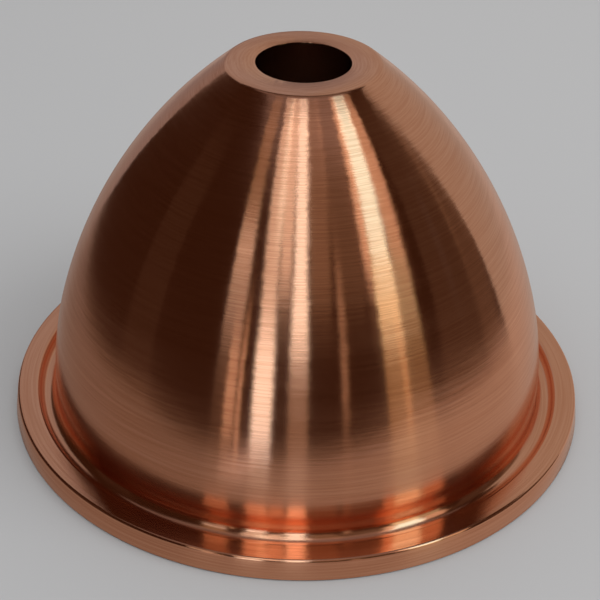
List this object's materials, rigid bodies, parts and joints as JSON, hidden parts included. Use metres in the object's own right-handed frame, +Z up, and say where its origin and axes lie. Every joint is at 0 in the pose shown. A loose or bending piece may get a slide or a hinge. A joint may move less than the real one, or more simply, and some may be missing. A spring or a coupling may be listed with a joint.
{
  "type": "alembic dome",
  "caption": "Spun copper dome head for a still: ogive dome with a flat top and a neck hole, a pressed groove round its foot and a flat rim turned down into a short skirt.",
  "frame": {"origin": "centre of the circle on which the skirt stands", "axes": "+Z up along the dome's axis, through the neck hole; X and Y are any two radii"},
  "size_m": [0.3069, 0.307, 0.1945],
  "materials": {
    "spun_copper": "bare copper, spun and brushed round the axis"
  },
  "bodies": {
    "root": {"alembic_dome": "spun_copper"}
  },
  "joints": []
}
